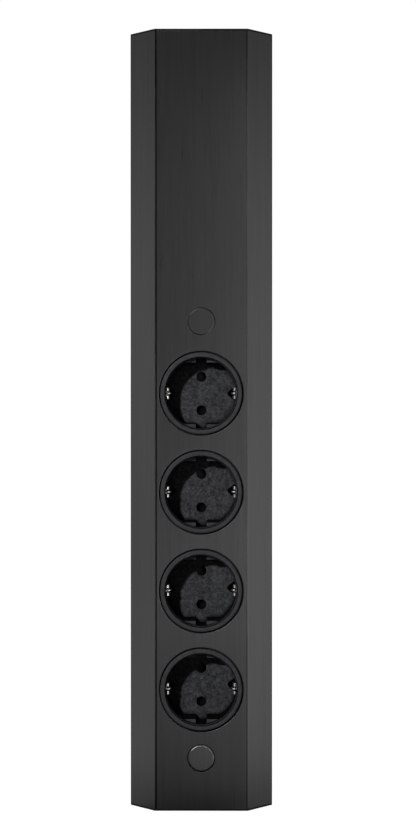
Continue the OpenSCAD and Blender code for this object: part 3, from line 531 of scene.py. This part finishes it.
def eased_copy(node, width):
    """A copy of a node's solid with its sharp edges rounded."""
    bm = bmesh.new()
    bm.from_mesh(frame["nodes"][node].data)
    bmesh.ops.remove_doubles(bm, verts=bm.verts[:], dist=2e-6)
    bmesh.ops.dissolve_limit(bm, angle_limit=math.radians(0.5), verts=bm.verts[:], edges=bm.edges[:])
    round_edges(bm, 30, width * MM)
    settle(bm, node)


# Sockets

def lug(chord, reach):
    """Outline of one guide rib in the upper right quarter, from its flat side to inside the wall."""
    arc0, arc1 = math.asin(KEY_W / 2 / reach), math.acos(chord / reach)
    steps = [arc1 + (arc0 - arc1) * t / 8 for t in range(9)]
    return [(KEY_W / 2, chord)] + [(reach * math.sin(a), reach * math.cos(a)) for a in steps]


def collar(node, z):
    """Ring, lip and barrel of a socket, with its guide ribs, claws and snaps."""
    slot_r = FLOOR_R + (LIP_R - FLOOR_R) * (1 - SLOT_FRONT / FLOOR_FRONT)
    lip_out, ring_in, seat_r = LIP_R + LIP_T, LIP_R + LINE_W, INSERT_R + INSERT_PLAY
    outline = rounded([
        (FLOOR_R, FLOOR_FRONT, 0), (slot_r, SLOT_FRONT, 0), (LIP_R, LIP_BACK, 0), (lip_out, LIP_FRONT, 0),
        (lip_out, LINE_DEPTH, 0), (ring_in, LINE_DEPTH, 0), (ring_in, -RING_PROUD, RING_EASES[0]),
        (RING_R, -RING_PROUD, RING_EASES[1]), (RING_R, SLOT_FRONT, 0), (SEAL_R, SLOT_FRONT + 0.1, 0),
        (SEAL_R, PLATE_T, 0), (BARREL_R, PLATE_T, 0), (BARREL_R, FLOOR_BACK, 0), (seat_r, FLOOR_BACK, 0),
        (seat_r, FLOOR_FRONT, 0)], 5)
    short = range(nearest(outline, (slot_r, SLOT_FRONT)), nearest(outline, (RING_R, SLOT_FRONT)) + 1)
    half = math.degrees(math.asin(SLOT_HALF / INSERT_R))
    degrees = spread_angles([-half, half, 180 - half, 180 + half, 360 - half], 2.5)
    cells = {i for i in range(len(degrees) - 1)
             if abs((degrees[i] + degrees[i + 1]) / 2 % 180 + half) % 180 < 2 * half}
    bm = bmesh.new()
    add_turned(bm, outline, degrees, short, cells)
    for sx in (-1, 1):
        for sz in (-1, 1):
            front, back = ([(sx * x, sz * y) for x, y in lug(RIB_REACH + draft, FLOOR_R + RIB_SINK)]
                           for draft in (RIB_DRAFT, 0.0))
            add_prism(bm, front, RIB_FRONT, FLOOR_FRONT, RIB_EASE, back)
    inside, claw_r, claw_front = BARREL_R - MERGE, BARREL_R + CLAW_REACH, WEB_BACK + CLAW_GAP
    claw = [(inside, claw_front), (claw_r, claw_front), (claw_r, claw_front + CLAW_EDGE),
            (inside, claw_front + CLAW_LEN)]
    wall_r, snap_r, snap_front = seat_r + MERGE, INSERT_R - SNAP_REACH, FLOOR_BACK + INSERT_PLAY
    snap = [(wall_r, FLOOR_BACK - MERGE), (wall_r, snap_front), (snap_r, snap_front),
            (snap_r, FLOOR_BACK + SNAP_REACH), (wall_r, FLOOR_BACK + SNAP_LEN),
            (inside, FLOOR_BACK + SNAP_LEN), (inside, FLOOR_BACK - MERGE)]
    for middle in CLAW_ANGLES:
        span = [middle + CLAW_SPREAD * (i / 6 - 0.5) for i in range(7)]
        add_turned(bm, claw, span)
        add_turned(bm, snap, span)
    finish_piece(bm, node, z, finish="socket_ring", side="socket_side")


def insert(node, z):
    """Floor of a recess: two pin holes with rounded rims, side slots, and the bosses and peg behind."""
    half = math.asin(SLOT_HALF / INSERT_R)
    notch = [*NOTCH, *((x, -y) for x, y in reversed(NOTCH))]
    rim = []
    for start, side in ((half, -1), (math.pi + half, 1)):
        arc = [start + (math.pi - 2 * half) * i / 60 for i in range(61)]
        rim += [(INSERT_R * math.cos(a), INSERT_R * math.sin(a)) for a in arc]
        rim += [(side * x, -side * y) for x, y in notch]
    holes = [circle(PIN_RIM_R, 48, (0, s * PIN_PITCH / 2)) for s in (-1, 1)]
    bm = pierced_plate([rim, *holes], FLOOR_FRONT, FLOOR_BACK, FLOOR_EASE, 3)
    for angle in BOSS_ANGLES:
        place = (BOSS_REACH * math.cos(math.radians(angle)), BOSS_REACH * math.sin(math.radians(angle)))
        add_prism(bm, circle(BOSS_R, 28, place), FLOOR_BACK - MERGE, BASE_FRONT, 0.2)
    add_prism(bm, circle(PEG_R, 16, PEG_AT), FLOOR_BACK - MERGE, PEG_BACK, 0.1)
    finish_piece(bm, node, z, side="socket_side")


def strap_path():
    """The earth strap's middle line seen from above, in (x, y): a U that curls inward at both contacts. It
    has short steps along the contacts."""
    side = STRAP_OUT - STRAP_T / 2
    half = [(side, STRAP_BACK, 1.6), (side, 11.0, 2.0), (18.0, 6.8, 1.1), (18.3, 3.7, 0.5), (19.05, 3.1, 0)]
    bends = [(-x, y, r) for x, y, r in reversed(half)] + half
    path = []
    for i, (x, y, r) in enumerate(bends):
        path += fillet(bends[i - 1][:2], (x, y), bends[i + 1][:2], r, 8) if r else [Vector((x, y))]
    fine = []
    for a, b in zip(path, path[1:]):
        step = 0.1 if min(a.y, b.y) < 4 else 0.35
        count = max(1, round((b - a).length / step)) if abs(b.x) > 16.5 else 1
        fine += [a + (b - a) * i / count for i in range(count)]
    return fine + [path[-1]]


def bead(p, w):
    """How far a contact is pressed inward, at a point of the path and w to the side of it."""
    rise = min(1.0, max(0.0, (p.y - BEAD_FRONT) / 1.3)) * min(1.0, max(0.0, (BEAD_BACK - p.y) / 2.4))
    ridge = BEAD_RISE * rise * rise * (3 - 2 * rise) * math.exp(-(w / BEAD_HALF) ** 4)
    return ridge if abs(p.x) > CONTACT_X else 0.0


def strap_half(p, w, end):
    """Half the strap's thickness, at a point of the path that lies so far from its end. The ends and the
    long edges are rounded, and the strap thins toward its contacts."""
    blunt = math.sqrt(max(0.0, 1 - (1 - min(1.0, (end + 0.02) / (STRAP_T / 2))) ** 2))
    edge = min(1.0, (STRAP_W / 2 - abs(w)) / STRAP_EASE)
    swell = math.sqrt(max(0.0, 1 - (1 - edge) ** 2))
    thick = STRAP_T / 2 * blunt * (STRAP_EDGE + (1 - STRAP_EDGE) * swell)
    return thick * min(1.0, max(STRAP_THIN, STRAP_THIN + (1 - STRAP_THIN) * (p.y - 5) / 4))


def earth_strap(node, z):
    """A bent nickel strip with a pressed bead between two slits on each contact."""
    path = strap_path()
    across = [-STRAP_W / 2 + STRAP_W * i / 60 for i in range(61)]
    rows, columns = len(path) - 1, len(across) - 1
    bm = bmesh.new()
    sheets = []
    for side in (-1, 1):
        grid = []
        for i, p in enumerate(path):
            way = (path[min(i + 1, rows)] - path[max(i - 1, 0)]).normalized()
            n = Vector((-way.y, way.x))
            inward = n if n.x * p.x < 0 else -n
            end = min((p - path[0]).length, (p - path[-1]).length)
            points = [p + n * side * strap_half(p, w, end) + inward * bead(p, w) for w in across]
            grid.append([bm.verts.new((q.x, q.y, w)) for q, w in zip(points, across)])
        sheets.append(grid)
    low, high = sheets

    def solid(i, k):
        """Whether the cell at path step i and width step k is on the strap and in no slit."""
        if not (0 <= i < rows and 0 <= k < columns):
            return False
        p, w = path[i], (across[k] + across[k + 1]) / 2
        return not (abs(p.x) > CONTACT_X and p.y < SLIT_BACK and SLIT_FROM < abs(w) < SLIT_TO)

    for i in range(rows):
        for k in range(columns):
            if solid(i, k):
                for grid in sheets:
                    bm.faces.new((grid[i][k], grid[i + 1][k], grid[i + 1][k + 1], grid[i][k + 1]))
    for i in range(rows + 1):
        for k in range(columns + 1):
            if i < rows and solid(i, k - 1) != solid(i, k):
                bm.faces.new((low[i][k], low[i + 1][k], high[i + 1][k], high[i][k]))
            if k < columns and solid(i - 1, k) != solid(i, k):
                bm.faces.new((low[i][k], low[i][k + 1], high[i][k + 1], high[i][k]))
    drop_loose(bm)
    for x, r in STRAP_HOLES:
        bore(bm, x, r, STRAP_BACK)
    final = finish_piece(bm, node, z, 60).data
    # Faces deeper than STRAP_SHADE take the darkened nickel: painted shade
    final.materials.append(MATERIALS["strap_back"])
    for face in final.polygons:
        face.material_index = int(face.center.y > (STRAP_SHADE + FRONT) * MM)


def softened(points, rounds):
    """A path with its corners cut, which leaves gentle bends."""
    points = [Vector(p) for p in points]
    for _ in range(rounds):
        cut = [points[0]]
        for a, b in zip(points, points[1:]):
            cut += [a.lerp(b, 0.25), a.lerp(b, 0.75)]
        points = cut + [points[-1]]
    return points


def shutter_spring(node, z):
    """A torsion spring in one round wire: a fixed leg, a coil and a pushing leg."""
    def at(r, degrees, y):
        return r * math.cos(math.radians(degrees)), y, r * math.sin(math.radians(degrees))

    last = LEG_ANGLE + 360 * COIL_TURNS
    coil_back = COIL_FRONT + COIL_PITCH * COIL_TURNS
    path = [at(COIL_R + LEG_LEN * s, LEG_ANGLE, COIL_FRONT) for s in (1, 0.75, 0.5, 0.25, 0.1)]
    path += [at(COIL_R, LEG_ANGLE + 360 * i / 48, COIL_FRONT + COIL_PITCH * i / 48)
             for i in range(round(48 * COIL_TURNS) + 1)]
    path += [at(COIL_R + PUSH_LEN * s, last, coil_back) for s in (0.25, 0.6, 1)]
    bm = bmesh.new()
    tube(bm, softened(path, 2), COIL_WIRE / 2, 12, 0.03)
    piece = finish_piece(bm, node, z, rides=False)
    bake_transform(piece)


# The other pieces

def cover_cap(node, z, proud, rim, finish=None):
    """Round cover cap with a softly rounded rim and a slit spigot."""
    bore_r = SPIGOT_R - SPIGOT_WALL
    outline = rounded([
        (0, -proud, 0), (CAP_R, -proud, rim), (CAP_R, CAP_BACK, 0.1), (SPIGOT_R, CAP_BACK, 0),
        (SPIGOT_R, SPIGOT_BACK, 0.15), (bore_r, SPIGOT_BACK, 0.15), (bore_r, CAP_BACK, 0),
        (bore_r, CAP_FACE_T - proud, 0), (0, CAP_FACE_T - proud, 0)], 5)
    low, back = nearest(outline, (SPIGOT_R, CAP_BACK)), nearest(outline, (bore_r, CAP_BACK))
    short = [*range(back, len(outline)), *range(low + 1)]
    half = math.degrees(math.asin(SPIGOT_SLIT / 2 / SPIGOT_R))
    stops = [-half]
    for quarter in range(4):
        stops += [90 * quarter + half, 90 * (quarter + 1) - half]
    degrees = spread_angles(stops, 4.0)
    cells = {i for i in range(len(degrees) - 1)
             if abs(((degrees[i] + degrees[i + 1]) / 2 + 45) % 90 - 45) < half}
    bm = bmesh.new()
    add_turned(bm, outline, degrees, short, cells)
    bmesh.ops.remove_doubles(bm, verts=bm.verts[:], dist=1e-5)
    finish_piece(bm, node, z, finish=finish)


def front_plate():
    low, high = PLATE_END, TOWER_H - PLATE_END
    left, right = PLATE_ASIDE - PLATE_W / 2, PLATE_ASIDE + PLATE_W / 2
    outer = [(left, low), (right, low), (right, high), (left, high)]
    holes = [circle(HOLE_R, 160, (0, z)) for z in SOCKETS.values()]
    holes += [circle(CAP_SEAT_R, 72, (0, UPPER_CAP)),
              circle(CAP_SEAT_R, 72, (LOW_SEAT[0], LOWER_CAP + LOW_SEAT[1]))]
    bm = pierced_plate([outer, *holes], 0.0, PLATE_T, 0.2, 2)
    finish_piece(bm, "front_plate")


def grommet():
    front, back = COVER_IN - GROMMET_LIP, COVER_OUT + GROMMET_LIP
    outline = rounded([
        (GROMMET_BORE, front, 0.6), (GROMMET_R, front, 0.7), (GROMMET_R, COVER_IN, 0.2),
        (GROMMET_SEAT, COVER_IN, 0), (GROMMET_SEAT, COVER_OUT, 0), (GROMMET_R, COVER_OUT, 0.2),
        (GROMMET_R, back, 0.7), (GROMMET_BORE, back, 0.6)], 4)
    bm = bmesh.new()
    add_turned(bm, outline, [360 * i / 64 for i in range(65)])
    finish_piece(bm, "cable_grommet", INLET)


def feed_wire(node, start, end):
    """An insulated wire: straight out of its crimp, over in an S, and straight into its pole."""
    path = []
    for i in range(97):
        z = WIRE_LOW + (WIRE_HIGH - WIRE_LOW) * i / 96
        t = min(1.0, max(0.0, (z - SWING_LOW) / (SWING_HIGH - SWING_LOW)))
        t = t * t * (3 - 2 * t)
        path.append((start[0] + (end[0] - start[0]) * t, start[1] + (end[1] - start[1]) * t, z))
    bm = bmesh.new()
    tube(bm, path, WIRE_R, 24, 0.3)
    finish_piece(bm, node)


for k, height in SOCKETS.items():
    shutter_spring(f"socket_{k}_shutter_spring", height)
    collar(f"socket_{k}_collar", height)
    insert(f"socket_{k}_insert", height)
    earth_strap(f"socket_{k}_earth_strap", height)
for node, (start, end) in FEED_WIRES.items():
    feed_wire(node, start, end)
cover_cap("upper_cover_cap", UPPER_CAP, proud=0.3, rim=0.3)
cover_cap("lower_cover_cap", LOWER_CAP, proud=1.0, rim=0.95, finish="proud_cap")
front_plate()
grommet()
for node, width in EASED.items():
    eased_copy(node, width)

# The solids whose shape is right keep it and take their finish
for name, node in frame["nodes"].items():
    if not node.hide_render:
        node.data.materials.clear()
        node.data.materials.append(MATERIALS[SLOT_OF[name]])


# Studio

FLOOR_SIDE, FLOOR_NEAR, FLOOR_FAR = 9, -9, 16
ROOM_LEVEL = 0.02                   # the room's brightness for the rays that light the object
FLOOR_PAINT = (0.14, 0.15)          # the floor's colour for other rays and for the camera
FLOOR_GLOW = 0.93                   # and what it shines with, for the camera

# The mirrored studio is darker behind the camera and overhead than at its sides: the direction of each loss,
# where it starts and ends as a cosine, and its most
FRONT_FALL = ((-0.2, -1.0, 0.0), 0.35, 0.95, 0.72)
TOP_FALL = ((0.0, 0.0, 1.0), 0.08, 0.27, 0.75)


def seen_directly(net, rays):
    """1 for camera, glossy and transmission rays, 0 for the rays that light the object."""
    mirrored = net.combine("MAXIMUM", rays["Is Camera Ray"], rays["Is Glossy Ray"])
    return net.combine("MAXIMUM", mirrored, rays["Is Transmission Ray"])


def mirrored_share(net, rays, way, falls):
    """What is left of a backdrop for glossy rays, with a soft loss toward each of some directions."""
    left = 1.0
    for toward, start, stop, most in falls:
        facing = net.add("ShaderNodeVectorMath", {0: way, 1: Vector(toward).normalized()}, "DOT_PRODUCT")
        dark = net.ramp(facing.outputs["Value"], start, stop, 0.0, most, "SMOOTHSTEP")
        rest = net.combine("SUBTRACT", 1.0, net.product(dark, rays["Is Glossy Ray"]))
        left = net.product(left, rest)
    return left


def floor_material():
    """A matt floor that shines evenly for the camera. In the metal's mirror it shows a painted pool of light,
    brighter ahead on the right, with painted shade near the foot."""
    made = bpy.data.materials.new("pale_floor")
    net = Net(made)
    rays = net.add("ShaderNodeLightPath").outputs
    place = net.add("ShaderNodeTexCoord").outputs["Object"]
    matt = net.add("ShaderNodeBsdfDiffuse", {"Color": net.ramp(rays["Is Camera Ray"], 0, 1, *FLOOR_PAINT)})
    way = net.add("ShaderNodeVectorMath", {0: place}, "NORMALIZE").outputs[0]
    share = net.product(seen_directly(net, rays), mirrored_share(net, rays, way, [FRONT_FALL]))
    parts = net.add("ShaderNodeSeparateXYZ", {0: place}).outputs
    reach = net.add("ShaderNodeVectorMath", {0: place}, "LENGTH").outputs["Value"]
    # The painted pool of light and the painted shade near the foot, seen only in reflections
    right = net.ramp(parts["X"], -0.06, 0.06, 0.0, 1.25, "SMOOTHSTEP")
    ahead = net.ramp(parts["Y"], -0.1, -0.03, 1.0, 0.0, "SMOOTHSTEP")
    foot_shade = net.ramp(reach, 0.04, 0.2, 0.385, 0.7, "SMOOTHSTEP")
    pool = net.product(net.combine("MULTIPLY_ADD", right, ahead, 1.0), foot_shade)
    glow = net.ramp(rays["Is Camera Ray"], 0, 1, pool, FLOOR_GLOW)
    lift = net.add("ShaderNodeEmission", {"Color": (1, 1, 1, 1), "Strength": net.product(share, glow)})
    total = net.add("ShaderNodeAddShader", {0: matt.outputs[0], 1: lift.outputs[0]})
    net.add("ShaderNodeOutputMaterial", {0: total.outputs[0]})
    return made


def pale_floor():
    mesh = bpy.data.meshes.new("floor")
    corners = [(-FLOOR_SIDE, FLOOR_NEAR, 0), (FLOOR_SIDE, FLOOR_NEAR, 0), (FLOOR_SIDE, FLOOR_FAR, 0),
               (-FLOOR_SIDE, FLOOR_FAR, 0)]
    mesh.from_pydata(corners, [], [(0, 1, 2, 3)])
    mesh.materials.append(floor_material())
    add_to_scene("floor", mesh)


def studio_world():
    """A white room. Its light on the object is low, since the lamps give most of it."""
    world = bpy.data.worlds.new("studio")
    bpy.context.scene.world = world
    net = Net(world)
    rays = net.add("ShaderNodeLightPath").outputs
    way = net.add("ShaderNodeTexCoord").outputs["Generated"]
    level = net.ramp(seen_directly(net, rays), 0, 1, ROOM_LEVEL, 1.0)
    strength = net.product(level, mirrored_share(net, rays, way, [FRONT_FALL, TOP_FALL]))
    sky = net.add("ShaderNodeBackground", {"Color": (1, 1, 1, 1), "Strength": strength})
    net.add("ShaderNodeOutputWorld", {0: sky.outputs[0]})


def add_light(name, kind, power, toward=None):
    light = bpy.data.lights.new(name, kind)
    light.energy = power
    made = add_to_scene(name, light)
    if toward:
        made.rotation_euler = Vector(toward).to_track_quat("-Z", "Y").to_euler()
    return made


def key_light():
    """It stands near, so that it falls more steeply into the lower sockets."""
    made = add_light("key", "POINT", 50.6)
    made.data.shadow_soft_size = 0.04
    made.location = (-0.466, -0.978, 0.553)
    made.visible_glossy = False


def soft_light(name, toward, power):
    """It comes from far off, so that the floor is evenly lit. The glint shows only as a reflection, and the
    others show only in matt surfaces."""
    made = add_light(name, "SUN", power, toward)
    made.data.angle = math.radians(40)
    made.visible_glossy = name == "glint"
    made.visible_diffuse = name != "glint"


def mirrored_strip():
    """A tall strip at the right that only the metal mirrors."""
    place, target = Vector((0.16, -0.27, 0.26)), Vector((0, -0.0255, 0.26))
    made = add_light("front_right", "AREA", 0.6, target - place)
    made.data.shape = "RECTANGLE"
    made.data.size = 0.05
    made.data.size_y = 0.4
    made.location = place
    made.visible_camera = False
    made.visible_diffuse = False


pale_floor()
studio_world()
key_light()
soft_light("glint", (0.6, 0.7, -0.8), 3.2)
soft_light("back_left", (0.7, -0.7, -0.35), 1.4)
soft_light("back_right", (-0.7, -0.7, -0.35), 1.4)
soft_light("top", (0.0, -0.6, -1.0), 1.7)
mirrored_strip()

# Camera at the photograph's place
PITCH, YAW = -0.00637, -0.00377
camera_data = bpy.data.cameras.new("camera")
camera_data.sensor_fit = "VERTICAL"
camera_data.sensor_height = 36.0
camera_data.sensor_width = 18.0
camera_data.lens = 71.69
camera_data.clip_start = 0.01
camera = add_to_scene("camera", camera_data)
camera.location = (0.00724, -0.94673, 0.22578)
forward = Vector((math.sin(YAW) * math.cos(PITCH), math.cos(YAW) * math.cos(PITCH), math.sin(PITCH)))
camera.rotation_euler = forward.to_track_quat("-Z", "Y").to_euler()
bpy.context.scene.camera = camera
bpy.context.scene.view_settings.view_transform = "Standard"
